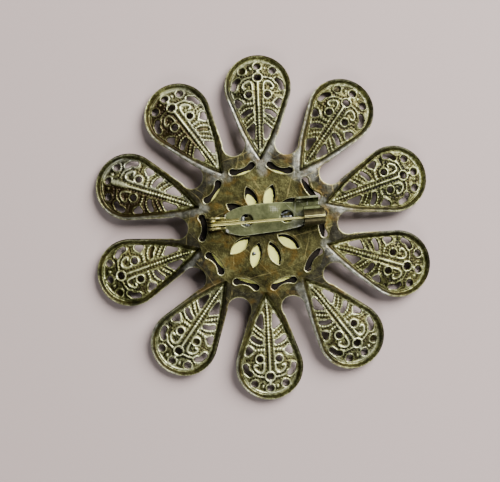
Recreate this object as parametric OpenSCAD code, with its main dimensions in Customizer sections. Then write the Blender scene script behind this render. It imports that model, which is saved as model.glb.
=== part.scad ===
// Flower brooch: a pierced flower plate with a bar pin on its back.
// It lies face down, so the back looks up and the petals' folds rest on z = 0.

/* [Flower] */
// Number of petals round the disc
petals = 10; // [8:1:10]
// Turn of the whole flower about its centre, in degrees
flower_turn = 1.9; // [0:0.1:5]
// Distance from the flower's centre to the fold line of each petal
fold_r = 12.4; // [12.2:0.1:12.6]
// Thickness of the stamped sheet
sheet = 0.5; // [0.4:0.05:0.6]
// How far each petal bends down from the disc, in degrees
droop = 7; // [4:0.5:12]

/* [Petal] */
// Distance from the flower's centre to the centre of the petal's round end
end_s = 24.35; // [23:0.05:25]
// Radius of the petal's round end, from its centre to the cut edge
rim_r = 5.8; // [5.6:0.1:6]
// Angle between the dish's long side and the petal's middle line
taper = 19; // [18.5:0.5:19.5]
// Angle between the dish's short side at its tip and the petal's middle line
tip_taper = 36; // [35:0.5:37]
// Distance from the flower's centre to the place where the two sides meet
tip_s = 16.5; // [16.3:0.1:16.7]
// Distance of the petal's neck from the flower's centre
neck_s = 14.17; // [14:0.01:14.3]
// Half the width of the petal's neck
neck_t = 2.63; // [2.5:0.01:2.8]
// Distance of the round notches between the petals from the flower's centre
notch_s = 14.9; // [14.8:0.1:15]
// Radius of the round notches between the petals
notch_r = 2; // [1.9:0.05:2.05]
// Depth of the dish below the petal's cut edge
dish_depth = 1.05; // [0.9:0.05:1.2]
// Width of the raised spine along the petal's middle
spine_w = 0.8; // [0.6:0.1:1]
// Height of the raised work above the dish's floor
relief = 0.2; // [0.1:0.05:0.3]

/* [Piercing] */
// Distance of the lens-shaped holes from the flower's centre
lens_s = 5.15; // [5:0.05:5.4]
// Length of a lens-shaped hole
lens_len = 4.35; // [4:0.05:4.5]
// Width of a lens-shaped hole
lens_w = 1.9; // [1.6:0.05:2]
// Radius of a bean-shaped slot about the centre of its notch
bean_arc_r = 4.85; // [4.7:0.05:4.9]
// Length of a bean-shaped slot along its curve
bean_len = 4.3; // [4:0.05:4.5]
// Width of a bean-shaped slot
bean_w = 0.95; // [0.8:0.05:1]
// Diameter of the two round holes at the end of the spine
eye_d = 1.2; // [1:0.05:1.3]

/* [Front disc] */
// Radius of the pale disc on the front side
front_r = 10.1; // [9.5:0.1:10.5]
// Height of the disc's low dome
front_h = 2.5; // [1.5:0.1:2.8]
// Gap between the flower plate and the disc
front_gap = 0.1; // [0.05:0.05:0.3]

/* [Clasp] */
// Turn of the pin's line from the X axis, in degrees
pin_turn = 4.85; // [4.5:0.05:6]
// Place of the pin's hinge, to the left of the flower's centre
hinge_x = -8.75; // [-9:0.05:-8.5]
// Place of the pin's hinge along Y
hinge_y = -0.01; // [-0.2:0.01:0.1]
// Thickness of the base plate
base_t = 0.5; // [0.4:0.05:0.6]
// Diameter of the spring wire
wire_d = 0.54; // [0.5:0.01:0.56]
// Radius of the coil, from its centre to the middle of the wire
coil_r = 0.6; // [0.58:0.01:0.65]
// Diameter of the rivet that the coil turns on
rivet_d = 0.54; // [0.5:0.01:0.56]
// Thickness of the two ears
ear_t = 0.36; // [0.3:0.02:0.4]
// Diameter of the base plate's hole beside the ears
left_hole_d = 2.2; // [1.8:0.05:2.3]
// Diameter of the base plate's hole beside the catch
right_hole_d = 2.25; // [1.8:0.05:2.3]

/* [Catch] */
// Outer radius of the turning barrel
barrel_r = 1.45; // [1.4:0.01:1.5]
// Wall of the barrel
barrel_wall = 0.4; // [0.3:0.05:0.45]
// Length of the barrel
barrel_len = 3.55; // [3.4:0.05:3.7]
// Width of the slot that lets the pin out of the barrel
slot_w = 0.48; // [0.46:0.02:0.6]
// Running gap between the barrel and its holder
barrel_gap = 0.05; // [0.03:0.01:0.08]
// Inner radius of the curled guard beside the barrel
guard_r = 0.8; // [0.7:0.05:0.9]
// Thickness of the curled guard
guard_t = 0.35; // [0.3:0.05:0.4]

/* [Hidden] */
$fn = 48;
step = 360 / petals;
first = 90 + flower_turn;

// Section of a petal from its spine outwards.
// Columns: distance from the middle line, height of the top face, distance and height of the underside.
flange_end = rim_r + 3.2;
section = [
    [0, -0.1, 0, -0.1 - sheet],
    [3.1, -0.6, 3.0, -0.6 - sheet],
    [4.85, -dish_depth, 4.85, -dish_depth - sheet],
    [5.1, -dish_depth + 0.05, 5.3, -dish_depth - 0.9 * sheet],
    [5.42, -0.15, 5.62, -0.1 - sheet],
    [5.6, 0, 5.7, -sheet],
    [rim_r, 0, rim_r, -sheet],
];
foot = section[3];
eye_s = [26.15, 28.3];
// The corner where the dish's long and short sides meet, on the line at groove_rho from its middle line.
// The seam between them runs from there to the middle line and to the petal's outline.
groove_rho = 5.22;
tip_corner = [tip_s, groove_rho / cos(taper) - (end_s - tip_s) * tan(taper)];
seam_angle = (taper + tip_taper) / 2;
seam_in = [tip_s + tip_corner[1] * tan(seam_angle), 0];
rim_corner = [end_s - rim_r * sin(taper), rim_r * cos(taper)];
rim_slope = (rim_corner[1] - neck_t) / (rim_corner[0] - neck_s);
seam_slope = 1 / tan(seam_angle);
seam_out_s = (tip_corner[1] - neck_t + tip_s * seam_slope + neck_s * rim_slope) / (rim_slope + seam_slope);
seam_out = [seam_out_s, neck_t + (seam_out_s - neck_s) * rim_slope];
// Start of the short side's section
tip_start = tip_corner + groove_rho * [sin(tip_taper), -cos(tip_taper)];
// Small step down from the disc to each petal at its fold
fold_step = 0.02;
plate_top = (end_s + foot[2] - fold_r) * sin(droop) - foot[3] * cos(droop) + fold_step;
plate_low = plate_top - sheet;

// Heights of the clasp, from the disc upwards
base_low = plate_top + 0.05;
base_top = base_low + base_t;
holder_r = barrel_r + barrel_gap;
axis_z = base_low + holder_r + base_t - 0.03;
coil_z = axis_z - coil_r;

// Places along the pin's line, from the hinge
plate_start = 2.25;
barrel_start = 15.75;
holder_start = 14.75;
holder_end = 18.45;
guard_y = 2.5;
left_hole = [6.02, 0.42];
right_hole = [12.93, 0.55];
tail_y = 0.61;
ear_in = [-0.45, 0.91];
ear_left = -0.66;
// The wire gets thinner from its full width towards its point: places along it and the width at each
wire_s = [11.5, 15.6, 18.4, 19.4];
wire_w = [wire_d, 0.36, 0.32, 0.12];

bronze = [0.44, 0.37, 0.19];
olive = [0.45, 0.46, 0.32];
brass = [0.72, 0.66, 0.4];
cream = [0.88, 0.87, 0.66];

function flip(list) = [for (i = [len(list) - 1:-1:0]) list[i]];
// Height of the dish's floor at a distance from the middle line
function floor_z(rho) = lookup(rho, [for (p = section) [p[0], p[1]]]);
// Outline of the section, closed by its underside, from a given distance, with or without the flat flange
function section_outline(from, flange) = concat(
    [[from, floor_z(from)]],
    [for (p = section) if (p[0] > from && (!flange || p[0] < rim_r)) [p[0], p[1]]],
    flange ? [[flange_end, 0], [flange_end, -sheet]] : [],
    [for (p = flip(section)) if (p[2] > from && (!flange || p[2] < rim_r)) [p[2], p[3]]],
    [[from, floor_z(from) - sheet]]);
// Height of the dish's floor on the petal's middle line
function ridge_z(s) = s > seam_in[0] ? floor_z((end_s - s) * sin(taper))
    : floor_z((tip_start[0] - s) * sin(tip_taper) - tip_start[1] * cos(tip_taper));

// Stands what is drawn in a petal's own flat frame in its place on the flower
module at_petal(k) {
    rotate([0, 0, first - k * step]) translate([fold_r, 0, plate_top - fold_step])
        rotate([0, droop, 0]) translate([-fold_r, 0, 0]) children();
}

// Both sides of a petal, from one that is drawn at positive y
module both_sides() {
    for (side = [0, 1]) mirror([0, side, 0]) children();
}

// Straight length of the dish's side, with its section's middle at a point, trimmed to an outline
module dish_side(start, angle, outline) {
    reach = end_s - 6;
    intersection() {
        translate([start[0], start[1], 0]) rotate([0, 0, 90 + angle]) rotate([90, 0, 0])
            translate([0, 0, -reach]) linear_extrude(2 * reach) polygon(section_outline(0, true));
        translate([0, 0, -3]) linear_extrude(6) polygon(outline);
    }
}

// Half of the dish between its round end and the fold
module dish_half() {
    half_fold = fold_r * tan(step / 2);
    dish_side([end_s, 0], taper, [[end_s, 0], rim_corner, seam_out, seam_in]);
    dish_side(tip_start, tip_taper,
        [seam_in, seam_out, [neck_s, neck_t], [fold_r, half_fold], [fold_r, 0]]);
}

// Straight rib across the dish, from the spine towards the rim
module rib(s, lean, reach) {
    drop = [for (x = [0.2, 0.6 * reach, reach])
        [x, floor_z((end_s - s + x * sin(lean)) * sin(taper) + x * cos(lean) * cos(taper))]];
    translate([s, 0, 0]) rotate([0, 0, 90 + lean]) rotate([90, 0, 0])
        translate([0, 0, -0.22]) linear_extrude(0.44)
            polygon(concat(
                [for (p = drop) [p[0], p[1] + relief]],
                [for (p = flip(drop)) [p[0], p[1] - relief]]));
}

// The ridge along the middle of the petal
module spine() {
    tip = 13.4;
    low = ridge_z(tip);
    seam = ridge_z(seam_in[0]);
    high = floor_z(0);
    translate([0, spine_w / 2, 0]) rotate([90, 0, 0]) linear_extrude(spine_w)
        polygon([[tip, low - 0.1], [tip + 0.3, low + relief], [seam_in[0], seam + relief],
            [end_s, high + relief], [end_s + 1.2, high], [end_s + 1.2, high - 0.3], [seam_in[0], seam - 0.3]]);
}

// Lens shape between two arcs, long along x
module lens(length, width) {
    r = (pow(length, 2) + pow(width, 2)) / (4 * width);
    intersection_for (side = [-1, 1]) translate([0, side * (r - width / 2)]) circle(r);
}

// Part of a ring about the origin, middle at the angle given
module ring_part(r, width, at, length) {
    half = length / r * 90 / PI;
    far = 2 * r;
    intersection() {
        difference() {
            circle(r + width / 2);
            circle(r - width / 2);
        }
        polygon([[0, 0], far * [cos(at - half), sin(at - half)], far * [cos(at + half), sin(at + half)]]);
    }
}

// The ten gaps of one petal, drawn flat
module petal_gaps() {
    for (s = eye_s) translate([s, 0]) circle(d = eye_d);
    both_sides() {
        polygon([[26.2, 3], [26.1, 4], [25.2, 4.6], [24, 4.6], [23.8, 4.3], [24.4, 3.65], [25.3, 3]]);
        polygon([[22.5, 4], [22.4, 3.2], [21.7, 2.75], [20.95, 3.25], [21.2, 3.85]]);
        polygon([[20.55, 1.15], [20.5, 2.1], [19.95, 2.95], [19.4, 3.1], [19.1, 2.85], [19.25, 2.3],
            [19.85, 1.25]]);
        polygon([[17.95, 0.75], [17.95, 1.2], [17.05, 2.15], [16.75, 2.1], [15.4, 1.4], [15.25, 1.05],
            [15.5, 0.72]]);
    }
}

module petal_flat() {
    core_r = 0.5;
    difference() {
        union() {
            translate([end_s, 0, 0]) {
                rotate_extrude(angle = 180 + 2 * taper, start = -90 - taper)
                    polygon(section_outline(0.7 * core_r, false));
                translate([0, 0, floor_z(0) - sheet - 0.03]) cylinder(r = core_r, h = sheet);
            }
            both_sides() dish_half();
            spine();
            both_sides() {
                rib(21.55, 15, 3.5);
                rib(19.9, 38, 3.3);
            }
            translate([eye_s[0], 0, -0.5]) cylinder(r = 1, h = 0.5);
        }
        translate([0, 0, -3]) linear_extrude(6) petal_gaps();
    }
}

// The disc between the petals, with its lens-shaped holes and bean-shaped slots
module disc() {
    corner_r = fold_r / cos(step / 2);
    corners = [for (k = [0:petals - 1]) first + (k + 0.5) * step];
    translate([0, 0, plate_low]) linear_extrude(sheet) difference() {
        polygon([for (at = corners) corner_r * [cos(at), sin(at)]]);
        for (at = corners) rotate(at) {
            rotate(3) translate([lens_s, 0]) lens(lens_len, lens_w);
            translate([notch_s, 0]) ring_part(bean_arc_r, bean_w, 180, bean_len);
        }
    }
}

module flower_plate() {
    color(bronze) difference() {
        union() {
            disc();
            for (k = [0:petals - 1]) at_petal(k) petal_flat();
        }
        for (k = [0:petals - 1]) rotate([0, 0, first + (k + 0.5) * step])
            translate([notch_s, 0, 0]) cylinder(r = notch_r, h = plate_top + 1);
    }
}

// Low dome with its flat side up, against the flower plate
module front_disc() {
    top = plate_low - front_gap;
    edge = 0.6;
    crown = front_h - edge;
    ball_r = (pow(front_r, 2) + pow(crown, 2)) / (2 * crown);
    color(cream) intersection() {
        translate([0, 0, top - front_h]) cylinder(r = front_r, h = front_h);
        translate([0, 0, top - front_h + ball_r]) sphere(r = ball_r, $fn = 200);
    }
}

// Stands what is drawn along the pin's line, with the hinge at the origin of x and y
module on_pin_line() {
    translate([hinge_x, hinge_y, 0]) rotate([0, 0, pin_turn]) children();
}

// Leaf shape of the base plate, with blunt ends
module leaf() {
    low = [[2.24, -0.74], [2.24, -1.2], [2.55, -1.45], [3, -1.62], [3.8, -1.88], [4.65, -2.06], [5.5, -2.16],
        [6.35, -2.15], [8.1, -2.04], [9.8, -1.98], [11.6, -1.89], [13.3, -1.7], [14.5, -1.48], [15.2, -1.19]];
    high = [[14.7, 2.82], [13.7, 2.92], [12, 3.04], [10.25, 3.09], [8.55, 3.11], [6.8, 3.02], [5.95, 2.94],
        [4.7, 2.76], [3.85, 2.5], [3.3, 2.27], [2.57, 1.88], [2.24, 1.58]];
    polygon(concat(low, high));
}

// One ear: a strip that stands on edge beside the coil, round about the rivet
module ear(inner, side) {
    low = side > 0 ? inner : inner - ear_t;
    translate([0, low + ear_t, 0]) rotate([90, 0, 0]) linear_extrude(ear_t)
        polygon([[ear_left, coil_z - 0.35], [ear_left, coil_z + 0.3], [ear_left + 0.4, coil_z + 0.62],
            [1.4, coil_z + 0.62], [2, base_top + 0.35], [plate_start + 0.6, base_top],
            [plate_start + 0.6, base_low], [0.4, base_low]]);
}

module clasp_base() {
    from = 228;
    to = 392;
    outer = holder_r + base_t;
    color(olive) on_pin_line() difference() {
        union() {
            translate([0, 0, base_low]) linear_extrude(base_t) difference() {
                leaf();
                translate(left_hole) circle(d = left_hole_d);
                translate(right_hole) circle(d = right_hole_d);
            }
            translate([holder_start, -0.6, base_low]) cube([holder_end - holder_start, guard_y + 0.7, base_t]);
            translate([holder_start, guard_y, base_top + guard_r - 0.03]) rotate([90, 0, 90])
                rotate_extrude(angle = 98, start = 262)
                    translate([guard_r, 0]) square([guard_t, holder_end - holder_start]);
            ear(ear_in[0], -1);
            ear(ear_in[1], 1);
            translate([holder_start, 0, axis_z]) rotate([90, 0, 90])
                rotate_extrude(angle = to - from, start = from)
                    translate([holder_r - 0.1, 0]) square([base_t + 0.1, holder_end - holder_start]);
        }
        translate([holder_start - 1.2, 0, axis_z]) rotate([0, 90, 0]) cylinder(r = holder_r, h = 7);
        translate([0, 2, coil_z]) rotate([90, 0, 0]) cylinder(d = rivet_d + 0.04, h = 4);
    }
}

// Rivet across both ears, with a small head outside each
module hinge_rivet() {
    head_h = 0.1;
    head_r = 0.38;
    low = ear_in[0] - ear_t;
    high = ear_in[1] + ear_t;
    color(brass) on_pin_line() translate([0, high, coil_z]) rotate([90, 0, 0]) {
        translate([0, 0, -0.02]) cylinder(d = rivet_d, h = high - low + 0.04);
        translate([0, 0, -0.02 - head_h]) cylinder(r = head_r, h = head_h);
        translate([0, 0, high - low + 0.02]) cylinder(r = head_r, h = head_h);
    }
}

// Open coil turn of the wire about the hinge, from one angle to another
module coil_turn(from, sweep) {
    rotate([90, 0, 0]) rotate_extrude(angle = sweep, start = from)
        translate([coil_r, 0]) circle(d = wire_d);
}

// Tail of the spring: it leaves the coil at the bottom and lies along the base plate
module spring_tail() {
    color(brass) on_pin_line() translate([0, tail_y, coil_z]) {
        coil_turn(0, 270);
        translate([0, 0, -coil_r]) rotate([0, 90, 0]) cylinder(d = wire_d, h = 4.7);
    }
}

// The pin: its coil turn, its straight wire and its point
module pin_wire() {
    color(brass) on_pin_line() translate([0, 0, coil_z]) {
        coil_turn(90, 265);
        translate([0, 0, coil_r]) rotate([0, 90, 0]) {
            cylinder(d = wire_d, h = wire_s[0]);
            for (i = [1:len(wire_s) - 1]) translate([0, 0, wire_s[i - 1]])
                cylinder(d1 = wire_w[i - 1], d2 = wire_w[i], h = wire_s[i] - wire_s[i - 1]);
        }
    }
}

// Slotted sleeve; with the slot up, the pin is free to swing out
module catch_barrel() {
    color(brass) on_pin_line() translate([barrel_start, 0, axis_z]) difference() {
        rotate([0, 90, 0]) cylinder(r = barrel_r, h = barrel_len);
        translate([-1, 0, 0]) rotate([0, 90, 0]) cylinder(r = barrel_r - barrel_wall, h = barrel_len + 2);
        translate([-1, -slot_w / 2, 0]) cube([barrel_len + 2, slot_w, 3]);
    }
}

flower_plate();
front_disc();
clasp_base();
hinge_rivet();
spring_tail();
pin_wire();
catch_barrel();
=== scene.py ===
import math
import bpy
import numpy as np
from mathutils import Matrix, Vector


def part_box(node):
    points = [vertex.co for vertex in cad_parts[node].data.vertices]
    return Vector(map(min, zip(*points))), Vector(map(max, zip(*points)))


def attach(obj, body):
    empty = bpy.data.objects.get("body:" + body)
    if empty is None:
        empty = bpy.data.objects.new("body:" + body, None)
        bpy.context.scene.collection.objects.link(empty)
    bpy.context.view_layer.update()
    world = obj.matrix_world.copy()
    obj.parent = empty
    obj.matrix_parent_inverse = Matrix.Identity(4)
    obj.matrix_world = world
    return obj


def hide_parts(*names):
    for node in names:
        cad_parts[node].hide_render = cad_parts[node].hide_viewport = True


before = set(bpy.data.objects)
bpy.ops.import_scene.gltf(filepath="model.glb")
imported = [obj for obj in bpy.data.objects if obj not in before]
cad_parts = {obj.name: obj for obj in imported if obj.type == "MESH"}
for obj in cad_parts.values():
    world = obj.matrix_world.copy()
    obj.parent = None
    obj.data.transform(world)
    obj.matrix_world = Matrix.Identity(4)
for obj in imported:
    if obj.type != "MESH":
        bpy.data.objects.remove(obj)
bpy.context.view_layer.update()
mm = 0.001
print("frame loaded")

# all sizes below are in millimetres; s runs out along a petal's middle line, t across it
flower = {
    "petals": 10,
    "turn": 1.9,          # of the whole flower, degrees
    # each petal's own turn, degrees
    "petalTurns": (0, -0.2, -0.04, 0.5, 0.9, 0.73, -0.12, -0.83, -0.52, -0.41),
    "foldS": 12.4,        # the petals are bent down here
    "bendWidth": 2.0,     # the bend at the fold is this long
    "droop": 7.0,         # degrees
    "endS": 24.35,        # centre and radius of the petal's round end, and the slant of its sides
    "rimR": 5.8,
    "outlineTaper": 19.0,
    "dishS": 24.5,        # the same for the dish, whose wall stands at this radius
    "dishR": 5.27,
    "dishTaper": 20.5,
    "tipS": 11.6,         # the dish's pointed end, with its own steeper taper
    "tipTaper": 29.5,
    "neckS": 14.17,       # the petals join inside this
    "notchS": 14.9,       # the round notch between two petals
    "notchR": 2.0,
    "sheet": 0.5,
    "frontGap": 0.1,      # between the sheet and the front disc
    "glueGap": 0.05,      # between the sheet and the clasp's base plate
    "cell": 0.088,        # of the petals' mesh
    "discCell": 0.125,
}
step = 2 * math.pi / flower["petals"]
firstAngle = math.radians(90 + flower["turn"])
joinS = flower["foldS"] - flower["bendWidth"] / 2
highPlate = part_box("front_disc")[1]
# the disc's back lies this high
plateTop = (highPlate[2] / mm) + flower["frontGap"] + flower["sheet"]
baseLow = plateTop + flower["glueGap"]
clasp = {   # in the pin's own frame: u runs along the pin from its hinge, v across it
    "hingeX": -8.75,
    "hingeY": -0.01,
    "turn": 4.85,
    "baseLow": baseLow,
    "baseTop": baseLow + 0.5,
    "axisZ": baseLow + 1.97,  # the barrel's axis
    "coilZ": baseLow + 1.37,  # the hinge's axis
    # the plate's lower edge from left to right, then its upper edge from right to left
    "low": [(2.24, -0.74), (2.24, -1.2), (2.55, -1.45), (3.0, -1.62), (3.8, -1.88), (4.65, -2.06),
            (5.5, -2.16), (6.35, -2.15), (8.1, -2.04), (9.8, -1.98), (11.6, -1.89), (13.3, -1.7),
            (14.5, -1.48), (15.2, -1.36), (15.7, -1.05)],
    "high": [(14.7, 2.82), (13.7, 2.92), (12.0, 3.04), (10.25, 3.09), (8.55, 3.11), (6.8, 3.02),
             (5.95, 2.94), (4.7, 2.76), (3.85, 2.5), (3.3, 2.27), (2.57, 1.88), (2.24, 1.58)],
    "holes": [((6.02, 0.42), 1.1), ((12.93, 0.55), 1.125)],   # place and radius
    "holder": (14.75, 18.6),  # from and to along the pin
    "guardV": 2.5,        # of the guard's middle
    "guardR": 0.8,
    "barrel": (15.75, 19.3),
    "barrelR": 1.45,
    "wall": 0.4,          # the barrel's
    "slot": 0.12,         # between the barrel's lips
    "earT": 0.36,
    "ears": (-0.81, 0.91),    # v of each ear's lower face
    "cell": 0.08,
}


# small geometry helpers, all on whole arrays of points

def smoothStep(x):
    x = np.clip(x, 0, 1)
    return x * x * (3 - 2 * x)


def hill(x, at, width):
    # a smooth hill, 1 high
    return np.exp(-((x - at) / width) ** 2)


def near(x, reach):
    # 1 where x is 0 or less, 0 past the reach
    return np.clip(1 - x / reach, 0, 1)


def seenAlong(x, y, angle):
    # the place along and across a line at the angle
    c, d = math.cos(angle), math.sin(angle)
    return x * c + y * d, -x * d + y * c


def lineDistance(s, t, points):
    # distance to a line through the points, and how far along it the nearest place is
    best = np.full(s.shape, 1e9)
    along = np.zeros(s.shape)
    start = 0.0
    for (s0, t0), (s1, t1) in zip(points[:-1], points[1:]):
        length = math.hypot(s1 - s0, t1 - t0)
        ds, dt = (s1 - s0) / length, (t1 - t0) / length
        reach = np.clip((s - s0) * ds + (t - t0) * dt, 0, length)
        away = np.hypot(s - s0 - reach * ds, t - t0 - reach * dt)
        nearer = away < best
        best = np.where(nearer, away, best)
        along = np.where(nearer, start + reach, along)
        start += length
    return best, along


def arcPoints(s0, t0, r, fromDeg, toDeg, count=12):
    angles = np.radians(np.linspace(fromDeg, toDeg, count))
    return [(s0 + r * math.cos(a), t0 + r * math.sin(a)) for a in angles]


def roundedShape(s, t, points, radius):
    # signed distance to a closed outline, blown up by a radius
    closed = points + points[:1]
    away, _ = lineDistance(s, t, closed)
    inside = np.zeros(s.shape, bool)
    for (s0, t0), (s1, t1) in zip(closed[:-1], closed[1:]):
        if t0 != t1:
            inside ^= ((t0 > t) != (t1 > t)) & (s < s0 + (s1 - s0) * (t - t0) / (t1 - t0))
    return np.where(inside, -away, away) - radius


def lensShape(s, t, s0, length, width):
    # a pointed oval along s
    r = (length ** 2 + width ** 2) / (4 * width)
    return np.hypot(s - s0, np.abs(t) + r - width / 2) - r


# the petal's piercing: signed distances, negative inside each hole
# holes and lines are drawn for the side where t is positive, and the other side mirrors them

petalHoles = {
    "spineEye": lambda s, t: np.hypot(s - 26.15, t) - 0.62,
    "tipEye": lambda s, t: np.hypot(s - 28.3, t) - 0.6,
    "upperEye": lambda s, t: np.hypot(s - 27.5, t - 2.7) - 0.63,
    "scrollEye": lambda s, t: np.hypot(s - 23.1, t - 1.65) - 0.55,
    "kidney": lambda s, t: lineDistance(s, t, [(25.75, 3.45), (25.3, 4.0), (24.4, 4.2)])[0] - 0.45,
    "sideGap": lambda s, t: roundedShape(s, t, [(21.25, 3.5), (21.7, 3.1), (22.1, 3.75)], 0.38),
    "ribGap": lambda s, t: lineDistance(s, t, [(20.2, 1.45), (19.95, 2.2), (19.5, 2.75)])[0] - 0.4,
    "neckGap": lambda s, t: roundedShape(s, t, [(17.6, 1.05), (16.95, 1.85), (15.6, 1.15)], 0.33),
}
closedHoles = {   # petal: holes that are filled and their side; 0 is a hole on the middle line
    0: [("upperEye", 1)],
    1: [("upperEye", 1)],
    4: [("upperEye", 1)],
    6: [("scrollEye", 1)],
    7: [("upperEye", 1), ("ribGap", -1)],
    8: [("spineEye", 0)],
    9: [("ribGap", -1)],
}
# petal: how much lighter it is made, and how much brighter its raised lines are
petalLift = {0: 0.02, 1: -0.04, 3: -0.03, 4: 0.06, 5: 0.1, 6: 0.1, 8: 0.05, 9: 0.1}
# petal: how silvery its raised lines are
paleDishes = {0: 0.3, 1: 0.2, 4: 0.3, 5: 0.25, 6: 0.25}
flaredRibs = (8,)   # petals whose filled eye is part of a middle rib that widens
stains = {8: 1, 9: 1}   # petal: the side that is dark brown

# raised lines: half width, height, pitch of the beads (0 for a smooth line), points
ridgeLines = [
    (0.24, 0.26, 0, [(25.6, 0.0), (21.0, 0.0)]),
    (0.25, 0.28, 0.52, [(21.0, 0.0), (15.4, 0.0)]),
    (0.28, 0.22, 0.45, [(15.1, 0.0), (13.75, 0.0)]),
    (0.34, 0.28, 0, [(13.2, 0.0), (13.05, 0.0)]),
    (0.2, 0.09, 0, [(25.2, 1.0), (22.0, 0.86), (18.3, 0.78)]),
    (0.21, 0.26, 0, arcPoints(26.15, 0, 0.85, 0, 180, 14)),
    (0.36, 0.22, 0, [(26.9, 0.0), (27.6, 0.0)]),
    (0.18, 0.15, 0, arcPoints(28.3, 0, 0.82, 0, 180, 14)),
    (0.22, 0.17, 0, [(26.25, 1.0), (26.15, 1.8), (25.9, 2.6), (25.2, 3.05)]),
    (0.24, 0.26, 0, [(23.9, 0.95), (24.8, 1.0), (25.35, 1.25), (25.5, 1.7), (25.3, 2.2),
                     (24.8, 2.65), (24.35, 2.75), (24.1, 2.5), (24.15, 2.2)]),
    (0.18, 0.22, 0, arcPoints(23.1, 1.65, 0.75, 0, 360, 18)),
    (0.25, 0.28, 0.5, [(21.5, 0.9), (21.5, 1.9), (21.6, 2.4)]),
    (0.2, 0.18, 0, [(22.5, 3.3), (21.7, 2.6), (20.8, 3.3)]),
    (0.2, 0.24, 0.48, [(20.7, 1.2), (20.65, 2.1), (20.2, 2.9), (19.6, 3.3)]),
    (0.18, 0.25, 0.48, [(19.1, 1.0), (18.75, 1.6), (18.1, 2.3), (17.75, 2.7)]),
    (0.16, 0.2, 0.48, [(18.2, 1.05), (17.6, 1.7), (17.1, 2.35)]),
    (0.15, 0.14, 0, [(15.35, 1.35), (15.1, 1.2), (15.0, 0.95)]),
    (0.28, 0.22, 0, [(28.02, 1.28), (27.92, 1.28)]),
]
# sunk lines of dark dots, in the same way
pitLines = [
    (0.18, 0.16, 0.55, [(25.3, 0.47), (16.0, 0.38), (13.9, 0.3)]),
    (0.21, 0.15, 0.5, [(27.5, 0.5), (27.0, 0.6), (26.7, 1.0), (26.6, 1.5), (26.45, 2.1),
                       (26.35, 2.6), (26.8, 3.6)]),
    (0.2, 0.15, 0.5, [(25.3, 0.55), (25.7, 0.75), (25.95, 1.2), (25.95, 1.7), (25.6, 2.3),
                      (25.1, 2.8), (24.5, 3.08), (23.9, 3.15)]),
    (0.16, 0.12, 0.5, [(23.8, 3.1), (23.75, 2.6), (23.85, 2.2)]),
    (0.2, 0.16, 0.45, [(24.2, 1.25), (24.6, 1.3), (24.85, 1.65), (24.7, 1.95), (24.45, 2.25)]),
    (0.18, 0.14, 0.5, [(23.3, 3.0), (22.9, 2.7), (22.4, 2.5), (22.0, 2.1), (21.95, 1.55),
                       (21.95, 1.0)]),
    (0.2, 0.14, 0.5, [(23.35, 3.0), (23.3, 4.1)]),
    (0.18, 0.14, 0.5, [(21.1, 0.9), (21.05, 1.9), (20.85, 2.6), (20.5, 3.3)]),
    (0.17, 0.14, 0.5, [(19.7, 1.1), (19.3, 1.5), (18.95, 1.9), (18.45, 2.4), (18.2, 2.7)]),
    (0.16, 0.13, 0.5, [(18.75, 0.95), (18.5, 1.2), (18.2, 1.6), (17.8, 2.0), (17.4, 2.4)]),
    (0.18, 0.13, 0.45, [(28.45, 0.8), (28.55, 1.3), (28.35, 1.75), (27.9, 1.85), (27.6, 1.6),
                        (27.4, 1.35)]),
]


def taperedDistance(s, t, centre, taper):
    # distance round a drop shape: straight sides at the taper, round at its end
    c, d = math.cos(math.radians(taper)), math.sin(math.radians(taper))
    ds, dt = s - centre, np.abs(t)
    return np.where(ds * c + dt * d < 0, -ds * d + dt * c, np.hypot(ds, dt))


def dishDistance(s, t):
    # distance from the petal's middle line, the way the dish runs round it
    long = taperedDistance(s, t, flower["dishS"], flower["dishTaper"])
    a = math.radians(flower["tipTaper"])
    short = flower["dishR"] + np.abs(t) * math.cos(a) - (s - flower["tipS"]) * math.sin(a)
    blend = 0.5
    share = np.clip(0.5 + 0.5 * (long - short) / blend, 0, 1)
    return short + (long - short) * share + blend * share * (1 - share)


def outlineDistance(s, t):
    # how far a place lies inside the petal's cut edge
    drop = flower["rimR"] - taperedDistance(s, t, flower["endS"], flower["outlineTaper"])
    shoulder = np.where(s < flower["neckS"] + 0.1, 1.0, -1.0)
    body = np.maximum(drop, shoulder)
    notchS, notchT = flower["notchS"] * math.cos(step / 2), flower["notchS"] * math.sin(step / 2)
    return np.minimum(body, np.hypot(s - notchS, np.abs(t) - notchT) - flower["notchR"])


def smoothTable(points, width):
    # a polyline of (distance, height) rows, rounded over the given width
    x = np.arange(-1, 12, 0.01)
    y = np.interp(x, [p[0] for p in points], [p[1] for p in points])
    box = np.ones(int(width / 0.01)) / int(width / 0.01)
    return x, np.convolve(np.convolve(y, box, "same"), box, "same")


# the dish's section: distance from the petal's middle line and height, of the back and of the front
topTable = smoothTable([(-1, -0.08), (0, -0.1), (3.1, -0.55), (4.7, -1.0), (5.05, -0.98),
                        (5.4, -0.18), (5.6, -0.03), (5.8, 0), (12, 0)], 0.14)
lowTable = smoothTable([(-1, -0.44), (0, -0.46), (3.0, -0.93), (4.85, -1.45), (5.25, -1.42),
                        (5.6, -0.62), (5.85, -0.5), (12, -0.5)], 0.16)


def holeDistance(s, t, petal, filled):
    # distance to the edge of the nearest hole, open or filled, positive in the metal
    closed = closedHoles.get(petal, [])
    best = np.full(s.shape, 9.0)
    for name, shape in petalHoles.items():
        here = shape(s, np.abs(t))
        shut = np.zeros(s.shape, bool)
        for hole, side in closed:
            if hole == name:
                shut |= t * side >= 0
        best = np.minimum(best, np.where(shut == filled, here, 9.0))
    return best


def lineHeight(s, t, lines):
    # the tallest of the lines at each place, from 0 to its height
    height = np.zeros(s.shape)
    for half, tall, pitch, points in lines:
        away, along = lineDistance(s, np.abs(t), points)
        if pitch:
            tall = tall * (0.6 + 0.4 * np.cos(2 * math.pi * along / pitch))
        height = np.maximum(height, tall * np.clip(1 - (away / half) ** 2, 0, 1))
    return height


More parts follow.
